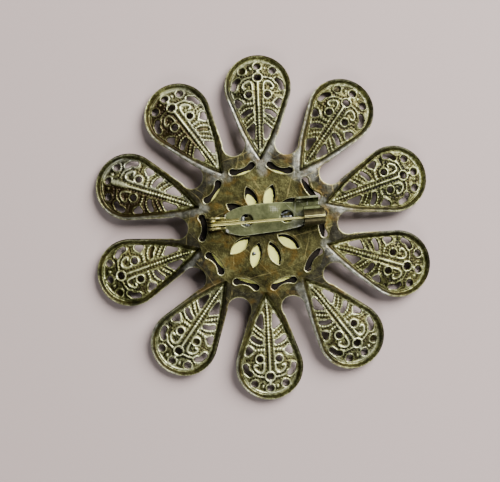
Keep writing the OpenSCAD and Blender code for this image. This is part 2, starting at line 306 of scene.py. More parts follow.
# how a petal's section and patina run, by the distance from its middle line
dish = {
    "floorEnd": 5.0,
    "border": 4.75,       # raised line along the floor's edge
    "endHighlight": 4.98,         # painted highlight along the round end's wall
    "groove": 5.2,        # dark line at the wall's foot
    "wall": 5.25,
    "rimStart": 5.4,
    "lip": 0.15,          # height of the line round each hole, and its distance from the edge
    "bevel": 0.16,        # width of the worn slope along each cut edge
    "bevelDrop": 0.06,
}
petalTone = {   # how light the metal is, from 0 for black to 1 for bare
    "body": 0.43,
    "ridge": 1.85,        # for each millimetre of height
    "pit": 3.2,
    "dimple": 0.32,
    "groove": 0.2,
    # painted highlight along the round end's wall
    "endHighlight": 0.34,
    "rim": 0.13,          # the rim is darker by this
    "rimEdge": 0.5,
    "rimLitBand": 0.3,       # painted light and shade: the upper right rim has a light band and a dark edge
    "rimShadedEdge": 0.7,
    "wallLit": 0.09,      # painted light and shade: the dish's wall is lighter at the upper right, darker at the lower left
    "wallShaded": 0.15,
}


def petalFields(s, t, petal):
    # heights of the back and the front of the sheet, and the tone that the patina follows
    rho = dishDistance(s, t)
    holes = holeDistance(s, t, petal, False)
    filled = holeDistance(s, t, petal, True)
    rim = outlineDistance(s, t)
    edge = np.minimum(holes, rim)
    onFloor = smoothStep((dish["floorEnd"] - rho) / 0.3)
    lip = dish["lip"] * hill(np.minimum(holes, filled), dish["lip"], 0.12)
    endBorder = smoothStep((s - 27.5) / 1.5)
    border = (0.1 + 0.12 * endBorder) * hill(rho, dish["border"], 0.16)
    ridge = np.maximum(lineHeight(s, t, ridgeLines), np.maximum(lip, border))
    if petal in flaredRibs:
        away = np.hypot(np.maximum(np.abs(s - 26.3) - 1.3, 0), t)
        flare = 0.24 * np.clip(1 - (away / 0.62) ** 2, 0, 1)
        ridge = np.where(np.hypot(s - 26.15, t) < 1.0, flare, np.maximum(ridge, flare))
    pits = lineHeight(s, t, pitLines) * np.clip(1 - 4 * ridge, 0, 1)
    dimple = np.clip(-filled / 0.2, 0, 1) * (petal not in flaredRibs)
    relief = (ridge - pits - 0.16 * dimple) * onFloor
    top = np.interp(rho, *topTable) + relief - dish["bevelDrop"] * near(edge, dish["bevel"])
    low = np.minimum(np.interp(rho, *lowTable) + 0.4 * relief, top - 0.1)
    lift = petalLift.get(petal, 0)
    work = (petalTone["ridge"] + 8 * lift) * ridge
    work = work - petalTone["pit"] * pits - petalTone["dimple"] * dimple
    groove = petalTone["groove"] * hill(rho, dish["groove"], 0.17)
    # painted highlight along the round end's wall
    endHighlight = petalTone["endHighlight"] * hill(rho, dish["endHighlight"], 0.2) * smoothStep((s - 25.5) / 2.5)
    tone = petalTone["body"] + 0.5 * lift + onFloor * work - groove + endHighlight
    onRim = smoothStep((rho - dish["rimStart"]) / 0.15)
    tone = tone - petalTone["rim"] * onRim + petalTone["rimEdge"] * near(rim, 0.2) * onRim
    stain = smoothStep(t * stains.get(petal, 0) / 0.8)
    stain = stain * smoothStep((5.3 - rho) / 0.4) * smoothStep((s - 16) / 3)
    return top, low, np.clip(tone, 0, 1), stain


# the sheet's mesh: a grid cut along the zero line of a distance, with a top, a bottom and walls

# which corners of a cell are inside: the cell's polygons
# 0 to 3 are its corners, 4 to 7 the cuts on its sides
cellCases = {
    1: [(0, 4, 7)], 2: [(4, 1, 5)], 3: [(0, 1, 5, 7)], 4: [(5, 2, 6)], 5: [(0, 4, 7), (5, 2, 6)],
    6: [(4, 1, 2, 6)], 7: [(0, 1, 2, 6, 7)], 8: [(6, 3, 7)], 9: [(0, 4, 6, 3)],
    10: [(4, 1, 5), (6, 3, 7)], 11: [(0, 1, 5, 6, 3)], 12: [(5, 2, 3, 7)], 13: [(0, 4, 5, 2, 3)],
    14: [(4, 1, 2, 3, 7)], 15: [(0, 1, 2, 3)],
}


def cutSheet(xRange, yRange, cell, distance):
    xs = np.arange(xRange[0], xRange[1] + cell, cell)
    ys = np.arange(yRange[0], yRange[1] + cell, cell)
    nx, ny = len(xs), len(ys)
    gx, gy = np.meshgrid(xs, ys, indexing="ij")
    d = distance(gx, gy)
    d = np.where(np.abs(d) < 1e-6, 1e-6, d)
    d[0, :] = d[-1, :] = d[:, 0] = d[:, -1] = -1
    inside = d > 0
    node = np.arange(nx * ny).reshape(nx, ny)
    alongX = nx * ny + node          # cut between a node and the next one in x
    alongY = 2 * nx * ny + node      # cut between a node and the next one in y
    code = inside[:-1, :-1] + 2 * inside[1:, :-1] + 4 * inside[1:, 1:] + 8 * inside[:-1, 1:]
    ids = np.stack([node[:-1, :-1], node[1:, :-1], node[1:, 1:], node[:-1, 1:],
                    alongX[:-1, :-1], alongY[1:, :-1], alongX[:-1, 1:], alongY[:-1, :-1]], -1)
    polygons, edges = [], []
    for number, shapes in cellCases.items():
        cells = ids[code == number]
        for shape in shapes:
            polygons.append(cells[:, list(shape)])
            if number == 15:
                continue
            for a, b in zip(shape, shape[1:] + shape[:1]):
                if a > 3 and b > 3:
                    edges.append(cells[:, [a, b]])
    edges = np.vstack(edges)
    used = np.unique(np.concatenate([p.ravel() for p in polygons]))
    order = np.full(3 * nx * ny, -1)
    order[used] = np.arange(len(used))
    places = np.zeros((2, 3 * nx * ny))
    flat = np.stack([gx.ravel(), gy.ravel()])
    flatD = d.ravel()
    places[:, :nx * ny] = flat
    for axis, first, following in ((0, node[:-1, :].ravel(), ny), (1, node[:, :-1].ravel(), 1)):
        here, there = flatD[first], flatD[first + following]
        cut = (axis + 1) * nx * ny + first
        places[:, cut] = flat[:, first]
        places[axis, cut] += here / np.where(here == there, 1, here - there) * cell
    return places[0, used], places[1, used], [order[p] for p in polygons], order[edges]


def makeObject(name, points, faces, values, sharpAngle):
    # the points are in millimetres; the values are kept on them for the materials
    mesh = bpy.data.meshes.new(name)
    mesh.from_pydata((points * mm).tolist(), [], faces)
    mesh.update()
    for label, value in values.items():
        attribute = mesh.attributes.new(label, "FLOAT", "POINT")
        attribute.data.foreach_set("value", value.astype(np.float32))
    mesh.shade_smooth()
    mesh.set_sharp_from_angle(angle=math.radians(sharpAngle))
    thing = bpy.data.objects.new(name, mesh)
    bpy.context.scene.collection.objects.link(thing)
    return thing


def sheetObject(name, top, low, polygons, edges, tones):
    # top and low are arrays of places, joined along the cut edges
    count = len(top)
    faces = []
    for p in polygons:
        faces += p.tolist()
        faces += (p[:, ::-1] + count).tolist()
    walls = np.stack([edges[:, 1], edges[:, 0], edges[:, 0] + count, edges[:, 1] + count], -1)
    faces += walls.tolist()
    values = {label: np.concatenate(pair) for label, pair in tones.items()}
    return makeObject(name, np.vstack([top, low]), faces, values, 52)


def bend(s, t, z):
    # stands the flat petal in its bent place, still along +s
    width = flower["bendWidth"]
    table = np.arange(0, 20.0, 0.01)
    angle = math.radians(flower["droop"]) * smoothStep(table / width)
    out = joinS + np.concatenate([[0], np.cumsum(np.cos(angle[:-1])) * 0.01])
    down = -np.concatenate([[0], np.cumsum(np.sin(angle[:-1])) * 0.01])
    reach = np.clip(s - joinS, 0, None)
    slope = np.interp(reach, table, angle)
    x = np.where(s < joinS, s, np.interp(reach, table, out)) + z * np.sin(slope)
    return x, t, plateTop + np.interp(reach, table, down) + z * np.cos(slope)


def turned(x, y, z, angle):
    c, d = np.cos(angle), np.sin(angle)
    return np.stack([x * c - y * d, x * d + y * c, z], -1)


# places where the patina has worn to silver, in the brooch's frame: lines, half width and strength
silverPlaces = [
    ([(-20.2, 17.0), (-19.1, 14.9), (-15.8, 12.9), (-12.0, 10.9), (-9.0, 9.8), (-6.9, 8.7)],
     0.7, 0.8),
    ([(-6.0, 21.0), (-4.2, 17.5), (-2.7, 14.9), (-1.7, 12.4), (-0.3, 10.7), (-0.1, 9.3)], 0.8, 0.9),
    ([(1.6, 15.2), (0.7, 12.6), (0.2, 10.7)], 0.9, 0.9),
    ([(4.3, 24.8), (4.1, 22.9), (3.1, 19.8), (1.8, 16.0)], 0.6, 0.8),
    ([(8.8, 24.4), (8.6, 22.6), (8.1, 21.0), (7.1, 17.5)], 0.7, 0.9),
    ([(7.7, 21.5), (6.8, 18.4), (6.1, 14.6), (6.0, 11.3), (5.9, 8.6)], 0.8, 1.0),
    ([(18.3, 16.6), (14.6, 13.8), (10.7, 11.5), (6.6, 8.7)], 0.6, 0.9),
    ([(4.9, 9.3), (6.8, 8.2)], 0.8, 0.6),
    ([(8.5, 10.8), (8.5, 8.6)], 0.9, 0.6),
    ([(10.3, 4.1), (12.6, 2.9), (15.0, 2.5)], 0.8, 0.8),
    ([(11.4, 2.3), (13.6, 2.0)], 0.8, 0.6),
    ([(10.8, -3.0), (12.7, -5.9), (16.1, -9.0), (18.3, -11.0), (21.0, -12.2)], 0.8, 1.2),
    ([(6.3, -10.6), (7.2, -12.5), (8.0, -16.6), (9.3, -20.0), (11.1, -23.0)], 0.7, 0.9),
    ([(-18.5, -17.2), (-19.5, -20.9), (-18.0, -23.9), (-15.2, -25.4)], 0.5, 0.7),
    ([(-4.5, -22.5), (-4.7, -24.7), (-3.6, -27.7), (-1.7, -29.4)], 0.5, 0.7),
    ([(-7.3, -10.7), (-8.3, -13.4)], 0.7, 0.7),
    ([(-11.7, -5.0), (-12.9, -7.2)], 0.7, 0.7),
    ([(-27.0, 2.3), (-21.2, 1.8), (-14.8, 2.1), (-12.0, 2.4), (-10.3, 3.1)], 0.8, 0.8),
    ([(-12.9, 3.4), (-9.8, 2.9)], 0.6, 0.5),
    ([(-8.8, 7.9), (-6.0, 8.3)], 0.8, 0.4),
]


def silverShare(x, y):
    share = 0.1 * smoothStep((np.hypot(x, y) - 10.5) / 2)
    for points, half, strength in silverPlaces:
        away, _ = lineDistance(x, y, points)
        share = np.maximum(share, strength * smoothStep(1.5 - away / half))
    return share


def wallFacing(s, t, angle):
    # 1 where the dish's wall stands to the upper right of its petal, -1 to the lower left
    reach = 0.05
    slopeS = (dishDistance(s + reach, t) - dishDistance(s - reach, t)) / (2 * reach)
    slopeT = (dishDistance(s, t + reach) - dishDistance(s, t - reach)) / (2 * reach)
    turn = angle - math.radians(45)
    return slopeS * np.cos(turn) - slopeT * np.sin(turn)


def makePetal(number):
    def distance(s, t):
        d = np.minimum(outlineDistance(s, t), holeDistance(s, t, number, False))
        d = np.minimum(d, s - joinS)
        return np.minimum(d, (s * math.tan(step / 2) - np.abs(t)) * math.cos(step / 2))
    s, t, polygons, edges = cutSheet((joinS - 0.35, 30.6), (-6.05, 6.05), flower["cell"], distance)
    top, low, tone, stain = petalFields(s, t, number)
    own = math.radians(flower["petalTurns"][number]) * smoothStep((s - flower["foldS"]) / 3)
    angle = firstAngle - number * step + own
    topPlace = turned(*bend(s, t, top), angle)
    lowPlace = turned(*bend(s, t, low), angle)
    facing = wallFacing(s, t, angle)
    rho, rim = dishDistance(s, t), outlineDistance(s, t)
    wall = hill(rho, dish["wall"], 0.3)
    # painted light and shade on the dish's wall, by the way it faces
    contrast = np.where(facing > 0, petalTone["wallLit"], petalTone["wallShaded"])
    tone = np.clip(tone + wall * contrast * facing, 0, 1)
    # painted light and shade on the upper right rim: a light band, also made silvery, and a dark
    # edge
    onRim = smoothStep((rho - 5.3) / 0.25)
    band = hill(rim, 0.28, 0.1)
    line = petalTone["rimLitBand"] * band - petalTone["rimShadedEdge"] * near(rim, 0.2)
    upperRight = onRim * smoothStep((s - 17) / 4) * smoothStep(facing / 0.5)
    tone = np.clip(tone + line * upperRight, 0, 1)
    plain = onRim * smoothStep((21 - s) / 5)
    silver = silverShare(topPlace[:, 0], topPlace[:, 1]) * onRim
    clean = smoothStep(0.3 - t * stains.get(number, 0)) * (number in stains) * (1 - onRim)
    pale = 0.7 * clean + paleDishes.get(number, 0) * (1 - onRim)
    silver = np.maximum(silver, pale * smoothStep((tone - 0.4) / 0.2)) + 0.4 * band * upperRight
    tones = {"tone": (tone, 0.6 * tone), "plain": (plain, plain), "silver": (silver, silver),
             "stain": (stain, stain)}
    return sheetObject("petal_%d" % number, topPlace, lowPlace, polygons, edges, tones)


piercing = {   # the disc's lens-shaped holes and bean-shaped slots
    "lensS": 5.15,
    "lensTurn": math.radians(3),
    "lens": (4.35, 1.9),            # length and width
    "slotArc": arcPoints(flower["notchS"] - 1.2, 0, 3.65, 151, 209),
    "slotLength": 3.72,
    "slotHalf": 0.48,
    "slotFlare": 0.1,               # the slot's ends are wider by this
}


def discHoles(x, y):
    # distance to the nearest lens-shaped hole or bean-shaped slot
    best = np.full(x.shape, 9.0)
    for k in range(flower["petals"]):
        s, t = seenAlong(x, y, firstAngle + (k + 0.5) * step)
        along, across = seenAlong(s, t, piercing["lensTurn"])
        lens = lensShape(along, across, piercing["lensS"], *piercing["lens"])
        away, along = lineDistance(s, t, piercing["slotArc"])
        ends = np.abs(along / piercing["slotLength"] - 0.5) * 2
        slot = away - piercing["slotHalf"] - piercing["slotFlare"] * ends ** 2
        best = np.minimum(best, np.minimum(lens, slot))
    return best


discTone = {
    "body": 0.46,
    "edge": 0.5,                    # the worn edges of the holes are lighter by this
    "shadowBesidePlate": 0.36,            # painted shadow along the base plate's lower edge
    # painted shade under the hinge
    "shadeUnderHinge": 0.32,
    "wornWidth": 0.14,
}


def makeDisc():
    def distance(x, y):
        d = discHoles(x, y)
        for k in range(flower["petals"]):
            a = firstAngle + k * step
            d = np.minimum(d, joinS - (x * math.cos(a) + y * math.sin(a)))
        return d
    x, y, polygons, edges = cutSheet((-12.3, 12.3), (-12.3, 12.3), flower["discCell"], distance)
    holes = discHoles(x, y)
    width = discTone["wornWidth"]
    worn = near(holes, width)
    top = plateTop + 0.05 * hill(holes, width, width) - 0.07 * worn
    low = np.full(x.shape, plateTop - flower["sheet"])
    u, v = seenAlong(x - clasp["hingeX"], y - clasp["hingeY"], math.radians(clasp["turn"]))
    shadowBesidePlate, _ = lineDistance(u, v, clasp["low"])
    shadeUnderHinge, _ = lineDistance(u, v, [(-0.6, 0.05), (2.2, 0.05)])
    tone = discTone["body"] + discTone["edge"] * worn
    # painted shadow along the base plate's lower edge
    tone = tone - discTone["shadowBesidePlate"] * np.clip(1.3 - shadowBesidePlate / 0.32, 0, 1)
    # painted shade under the hinge
    tone = tone - discTone["shadeUnderHinge"] * smoothStep((1.35 - shadeUnderHinge) / 0.35) * (holes > 0.2)
    still = np.zeros(x.shape)
    tones = {"tone": (tone, still), "plain": (still + 1, still + 1),
             "silver": (silverShare(x, y), still), "stain": (still, still)}
    return sheetObject("disc_plate", np.stack([x, y, top], -1), np.stack([x, y, low], -1),
        polygons, edges, tones)


# painted shade: a dark sheet behind the disc, where its holes show shadow
shadeSheet = {
    "radius": 8.2,
    "lens": (4.3, 1.85),            # length and width of the cream in a lens hole
    "depth": 0.09,                  # from the disc's underside to the film's
    "thick": 0.06,
    "ring": (10.0, 11.3),           # behind the slots
    "ringY": -0.1,
    "inward": 0.6,                  # the ring's shift where a slot shows no cream
    "shift": (-0.3, -0.42),         # of the cream's outline against the hole above it
    "shifts": {0: (0.15, -1.15)},
    "covered": (1, 8),              # lens holes with no cream in sight
    "cell": 0.2,
}


def makeShadeSheet():
    # painted shade: a dark sheet behind the disc, standing for the shadows seen through its holes;
    # it leaves the cream free in the lower left of each lens hole and along the inner edge of most
    # slots
    def distance(x, y):
        d = shadeSheet["radius"] - np.hypot(x, y)
        for k in range(flower["petals"]):
            if k in shadeSheet["covered"]:
                continue
            dx, dy = shadeSheet["shifts"].get(k, shadeSheet["shift"])
            s, t = seenAlong(x - dx, y - dy, firstAngle + (k + 0.5) * step + piercing["lensTurn"])
            wobble = 0.04 * np.sin(7 * x + 3 * y) * np.sin(6 * y - 2 * x)
            d = np.minimum(d, lensShape(s, t, piercing["lensS"], *shadeSheet["lens"]) + wobble)
        inner, outer = shadeSheet["ring"]
        away = np.hypot(x, y - shadeSheet["ringY"])
        noCream = (x > 6.5) | ((x < 0) & (np.abs(y) < 2.6))   # at the catch and at the hinge
        away = away + np.where(noCream, shadeSheet["inward"], 0)
        return np.maximum(d, np.minimum(away - inner, outer - away))
    x, y, polygons, edges = cutSheet((-11.6, 11.6), (-11.6, 11.6), shadeSheet["cell"], distance)
    z = np.full(x.shape, plateTop - flower["sheet"] - shadeSheet["depth"])
    top, low = np.stack([x, y, z + shadeSheet["thick"]], -1), np.stack([x, y, z], -1)
    still = np.zeros(x.shape)
    return sheetObject("painted_shade_sheet", top, low, polygons, edges, {"tone": (still, still)})


petals = [makePetal(k) for k in range(flower["petals"])]
disc = makeDisc()
shadeSheetPiece = makeShadeSheet()
print("flower plate made:", sum(len(p.data.polygons) for p in petals + [disc]), "faces")


# the clasp's stamped base: its plate, its two ears, the barrel's holder and the curled guard

def onPinLine(u, v, w):
    a = math.radians(clasp["turn"])
    u, v, w = np.broadcast_arrays(u, v, w)
    x = clasp["hingeX"] + u * math.cos(a) - v * math.sin(a)
    y = clasp["hingeY"] + u * math.sin(a) + v * math.cos(a)
    return np.stack([x, y, w], -1)


def roundCorners(points, reach):
    # each corner gets a short curve that starts and ends at the reach from it
    p = np.array(points, float)
    rounded = []
    for before, here, after in zip(np.roll(p, 1, 0), p, np.roll(p, -1, 0)):
        a = here + (before - here) * min(reach / np.linalg.norm(before - here), 0.45)
        b = here + (after - here) * min(reach / np.linalg.norm(after - here), 0.45)
        rounded += [a, 0.25 * a + 0.5 * here + 0.25 * b, b]
    return np.array(rounded)


def prism(name, outline, low, high, place, bevel=0.06, body=0.4, rim=0.66):
    # a counter-clockwise outline drawn out between two heights, with rounded edges at both ends
    # body is the tone of its sides, and rim that of the edges
    side = np.roll(outline, -1, 0) - outline
    side /= np.linalg.norm(side, axis=1)[:, None]
    normal = np.stack([side[:, 1], -side[:, 0]], -1)
    corner = normal + np.roll(normal, 1, 0)
    corner /= np.linalg.norm(corner, axis=1)[:, None]
    rings = [(low, 1.0), (low + 0.3 * bevel, 0.3), (low + bevel, 0), (low + bevel + 0.02, 0),
             (high - bevel - 0.02, 0), (high - bevel, 0), (high - 0.3 * bevel, 0.3), (high, 1.0)]
    count = len(outline)
    points = np.vstack([place(outline - inset * bevel * corner, height) for height, inset in rings])
    last = len(rings) - 1
    faces = [list(range(count))[::-1], list(range(last * count, (last + 1) * count))]
    for ring in range(last):
        for i in range(count):
            j = (i + 1) % count
            here, following = ring * count, (ring + 1) * count
            faces.append([here + i, here + j, following + j, following + i])
    edge = np.repeat([rim * (inset > 0) for _, inset in rings], count)
    tone = np.maximum(edge, np.tile(np.broadcast_to(body, count), len(rings)))
    return makeObject(name, points, faces, {"tone": tone}, 40)


def alongPin(outline, u):
    return onPinLine(u, outline[:, 0], outline[:, 1])


def acrossPin(outline, v):
    return onPinLine(outline[:, 0], v, outline[:, 1])


plateTone = {
    "body": 0.4,
    "edge": 0.22,         # lighter worn edges
    "rubbed": 0.2,        # a rubbed patch between the plate's holes
    "spot": 0.3,          # a painted pool of light at the barrel's left end, lifting the barrel's shadow
    "low": 0.26,          # painted light along the lower edge, near the catch, lifting the barrel's shadow there
    "guardShade": 0.2,         # painted shade over the upper edge, near the catch, under the guard
    "end": 0.85,          # tone of the worn right end
    "corner": 0.95,       # tone of the worn corners
    "corners": [((2.3, -1.2), 0.5), ((14.9, -1.4), 0.4), ((2.2, 1.6), 0.35)],   # place and reach
}


def plateWearAndShade(u, v, edge):
    tone = plateTone["body"] + plateTone["edge"] * near(edge, 0.14)
    rubbed = plateTone["rubbed"] * np.clip(1.3 - np.hypot(u - 10.8, (v - 1.9) * 1.4) / 0.9, 0, 1)
    tone = tone + rubbed * (1 + np.sin(9 * (u + v)) * np.sin(7 * u - 11 * v))
    # painted light at the barrel's left end
    tone = tone + plateTone["spot"] * np.exp(-((u - 15.3) ** 2 + (v - 0.8) ** 2) / 0.5)
    lowHalf = smoothStep(0.5 - v)
    # painted light along the lower edge near the catch
    tone = tone + 0.04 * lowHalf + plateTone["low"] * smoothStep((u - 12) / 2.5) * lowHalf
    # painted shade over the upper edge, under the guard
    tone = tone - plateTone["guardShade"] * smoothStep((v - 1.6) / 0.7) * smoothStep((u - 13.6) / 0.8)
    rightEnd = smoothStep(1.6 - (clasp["holder"][1] - u) / 0.12)
    tone = np.maximum(tone, plateTone["end"] * rightEnd)
    for (cornerU, cornerV), r in plateTone["corners"]:
        corner = smoothStep(1.6 - np.hypot(u - cornerU, v - cornerV) / r)
        tone = np.maximum(tone, plateTone["corner"] * corner)
    return tone


def makePlate():
    floorLow, floorHigh = clasp["holder"]
    footTop = clasp["guardV"] + 0.1
    foot = [(floorLow - 2, -0.6), (floorHigh, -0.6), (floorHigh, footTop), (floorLow - 2, footTop)]

    def distance(u, v):
        plate = roundedShape(u, v, clasp["low"] + clasp["high"], 0)
        d = np.maximum(-plate, -roundedShape(u, v, foot, 0))
        for (holeU, holeV), r in clasp["holes"]:
            d = np.minimum(d, np.hypot(u - holeU, v - holeV) - r)
        return d
    u, v, polygons, edges = cutSheet((2.1, 18.6), (-2.3, 3.3), clasp["cell"], distance)
    # no worn edge where the guard joins
    edge = np.where((u > floorLow - 0.6) & (v > 2), 1, distance(u, v))
    wave = 0.012 * np.sin(2.1 * u + 1.3 * v) * np.sin(1.1 * u - 2.3 * v)
    top = clasp["baseTop"] + wave - 0.012 - 0.07 * near(edge, 0.1) ** 2
    tone = plateWearAndShade(u, v, edge)
    low = onPinLine(u, v, np.full(u.shape, clasp["baseLow"]))
    return sheetObject("clasp_plate", onPinLine(u, v, top), low, polygons, edges,
        {"tone": (tone, 0.3 * tone)})


def arcBand(v0, w0, inner, outer, fromDeg, toDeg, count=16):
    # outline of a curved strip, counter-clockwise
    there = arcPoints(v0, w0, outer, fromDeg, toDeg, count)
    return np.array(there + arcPoints(v0, w0, inner, toDeg, fromDeg, count))


def makeEar(name, low):
    z, top, base = clasp["coilZ"], clasp["baseTop"], clasp["baseLow"]
    outline = [(-0.95, z - 0.3), (0.4, base), (2.6, base), (2.6, top), (2.2, top + 0.02),
               (1.5, z + 0.38), (0.75, z + 0.62), (-0.45, z + 0.62), (-0.95, z + 0.25)]
    high = low + clasp["earT"]

    def place(outline, v):
        return acrossPin(outline, low + high - v)
    return prism(name, roundCorners(outline, 0.16), low, high, place, 0.15, 0.5)


holderR = clasp["barrelR"] + 0.05
holderBand = arcBand(0, clasp["axisZ"], holderR, holderR + 0.5, 228, 392, 30)
guardR, guardZ = clasp["guardR"], clasp["baseTop"] + clasp["guardR"] - 0.03
guardBand = arcBand(clasp["guardV"], guardZ, guardR, guardR + 0.35, 262, 360)
guardShading = np.where(np.abs(np.arange(32) - 15.5) < 2, 0.55, 0.1)   # painted light along its free edge, painted shade on the rest of the guard
claspParts = [
    makePlate(),
    prism("clasp_holder", holderBand, clasp["barrel"][0], clasp["holder"][1], alongPin,
        0.06, 0.34, 0.4),
    prism("clasp_guard", guardBand, *clasp["holder"], alongPin, 0.06, guardShading, 0.5),
]
ears = [makeEar("ear_lower", clasp["ears"][0]), makeEar("ear_upper", clasp["ears"][1])]


def makeBarrel():
    z, outer, slot = clasp["axisZ"], clasp["barrelR"], clasp["slot"]
    inner = outer - clasp["wall"]
    half = math.degrees(math.asin(slot / 2 / outer))
    halfIn = math.degrees(math.asin(slot / 2 / inner))
    outline = np.array(arcPoints(0, z, outer, 90 + half, 450 - half, 110)
        + arcPoints(0, z, inner, 450 - halfIn, 90 + halfIn, 44))
    # painted highlight on the slot's lips, standing for the highlight along the barrel's crest
    litLips = (np.abs(outline[:, 0]) < slot / 2 + 0.14) & (outline[:, 1] > z + 1)
    sides = np.where(litLips, 1.25, 0.06)
    return prism("barrel_sleeve", outline, *clasp["barrel"], alongPin, 0.06, sides, 0.3)


barrel = makeBarrel()


# the glue that shows in the base plate's holes and a drop of it on the front disc

glueSpots = {   # in the pin's frame: line, half width, height, level that it lies on
    "glue_left": ([(5.35, 0.85), (5.3, 0.35), (5.5, -0.05)], 0.4, 0.34, plateTop),
    "glue_low": ([(5.6, -0.35), (6.2, -0.45)], 0.3, 0.3, plateTop),
    "glue_right": ([(12.05, 0.95), (12.7, 1.15), (13.45, 1.5)], 0.2, 0.3, plateTop),
    "glue_wide": ([(12.3, 0.3), (13.5, 0.35)], 0.4, 0.2, plateTop),
    "glue_drop": ([(6.7, -5.37), (6.75, -5.37)], 0.34, 0.14, plateTop - flower["sheet"] - 0.1),
}


def makeGlue(name, points, half, height, level):
    def distance(u, v):
        wobble = 0.06 * np.sin(9 * u + 4 * v) * np.cos(7 * v - 3 * u)
        return half + wobble - lineDistance(u, v, points)[0]
    ranges = [(min(values) - 0.6, max(values) + 0.6) for values in zip(*points)]
    u, v, polygons, edges = cutSheet(*ranges, 0.05, distance)
    dome = np.sqrt(np.clip(distance(u, v) / half, 0, 1))
    low = np.full(u.shape, level + 0.005)
    top = low + 0.01 + height * dome
    return sheetObject(name, onPinLine(u, v, top), onPinLine(u, v, low), polygons, edges,
        {"tone": (dome, dome)})


glue = [makeGlue(name, *spot) for name, spot in glueSpots.items()]
print("clasp base, barrel and glue made")


# materials

def newMaterial(name):
    material = bpy.data.materials.new(name)
    material.use_nodes = True
    return material, material.node_tree, material.node_tree.nodes["Principled BSDF"]


def newGroup(name, inputs, outputs):
    # a node group that takes a place and some values, and gives one value for each label in outputs
    group = bpy.data.node_groups.new(name, "ShaderNodeTree")
    group.interface.new_socket("Vector", in_out="INPUT", socket_type="NodeSocketVector")
    for label, value in inputs.items():
        socket = group.interface.new_socket(label, in_out="INPUT", socket_type="NodeSocketFloat")
        socket.default_value = value
    for label in outputs:
        group.interface.new_socket(label, in_out="OUTPUT", socket_type="NodeSocketFloat")
    given, out = group.nodes.new("NodeGroupInput"), group.nodes.new("NodeGroupOutput")
    return group, given.outputs, out.inputs


def connect(tree, socket, value):
    # the value is a colour, a number or another node's output
    if isinstance(value, tuple):
        socket.default_value = (*value, 1)
    elif isinstance(value, (int, float)):
        socket.default_value = value
    else:
        tree.links.new(value, socket)


def addMath(tree, kind, a, b):
    node = tree.nodes.new("ShaderNodeMath")
    node.operation = kind
    connect(tree, node.inputs[0], a)
    connect(tree, node.inputs[1], b)
    return node.outputs[0]


def plus(tree, a, b):
    return addMath(tree, "ADD", a, b)


def minus(tree, a, b):
    return addMath(tree, "SUBTRACT", a, b)


def times(tree, a, b):
    return addMath(tree, "MULTIPLY", a, b)


def swing(tree, value, amount, middle=0.5):
    # how far the value is from its middle, times the amount
    return times(tree, minus(tree, value, middle), amount)


def addMix(tree, share, a, b):
    node = tree.nodes.new("ShaderNodeMix")
    node.data_type = "RGBA"
    for socket, value in ((node.inputs[0], share), (node.inputs[6], a), (node.inputs[7], b)):
        connect(tree, socket, value)
    return node.outputs[2]


def addNoise(tree, place, scale, detail=4, rough=0.55):
    node = tree.nodes.new("ShaderNodeTexNoise")
    settings = {"Vector": place, "Scale": scale, "Detail": detail, "Roughness": rough}
    for label, value in settings.items():
        connect(tree, node.inputs[label], value)
    return node.outputs["Fac"]


def addRamp(tree, value, stops):
    node = tree.nodes.new("ShaderNodeValToRGB")
    ramp = node.color_ramp
    while len(ramp.elements) < len(stops):
        ramp.elements.new(0.5)
    for element, (at, colour) in zip(ramp.elements, stops):
        element.position = at
        element.color = (*colour, 1)
    tree.links.new(value, node.inputs[0])
    return node.outputs[0]


def addRange(tree, value, low, high):
    # 0 up to low, 1 from high on
    node = tree.nodes.new("ShaderNodeMapRange")
    for label, setting in (("Value", value), ("From Min", low), ("From Max", high)):
        connect(tree, node.inputs[label], setting)
    return node.outputs[0]


def addStretch(tree, place, turn, stretch):
    # the place as seen by a texture that is turned in the plane and stretched
    node = tree.nodes.new("ShaderNodeMapping")
    node.vector_type = "TEXTURE"
    node.inputs["Rotation"].default_value = (0, 0, turn)
    node.inputs["Scale"].default_value = stretch
    tree.links.new(place, node.inputs["Vector"])
    return node.outputs[0]


def addAttribute(tree, label):
    node = tree.nodes.new("ShaderNodeAttribute")
    node.attribute_name = label
    return node.outputs["Fac"]


def placeGroup(tree, group, place, **values):
    node = tree.nodes.new("ShaderNodeGroup")
    node.node_tree = group
    tree.links.new(place, node.inputs["Vector"])
    for label, value in values.items():
        node.inputs[label].default_value = value
    return node.outputs


def makeScratchGroup():
    # fine scratches in three directions: a mask
    group, given, out = newGroup("fineScratches", {"Scale": 900.0}, ["Mask"])
    total = None
    for turn in (0.4, 1.5, 2.3):
        place = addStretch(group, given["Vector"], turn, (9, 1, 1))
        noise = addNoise(group, place, given["Scale"], 1.5, 0.5)
        line = addMath(group, "ABSOLUTE", minus(group, noise, 0.5), 0)
        line = addMath(group, "MAXIMUM", minus(group, 1.0, times(group, line, 85.0)), 0.0)
        shown = addMath(group, "GREATER_THAN", addNoise(group, place, 300), 0.56)
        line = times(group, line, shown)
        total = line if total is None else addMath(group, "MAXIMUM", total, line)
    group.links.new(total, out["Mask"])
    return group


def makePatinaGroup():
    # cloudy patches, specks and fine grain
    group, given, out = newGroup("patinaClouds", {"Large": 220.0, "Small": 1100.0},
        ["Clouds", "Specks", "Grain"])
    for label, scale, detail in (("Clouds", "Large", 5), ("Specks", "Small", 3)):
        noise = addNoise(group, given["Vector"], given[scale], detail, 0.6)
        group.links.new(addRange(group, noise, 0.35, 0.65), out[label])
    group.links.new(addNoise(group, given["Vector"], 4200, 3), out["Grain"])
    return group


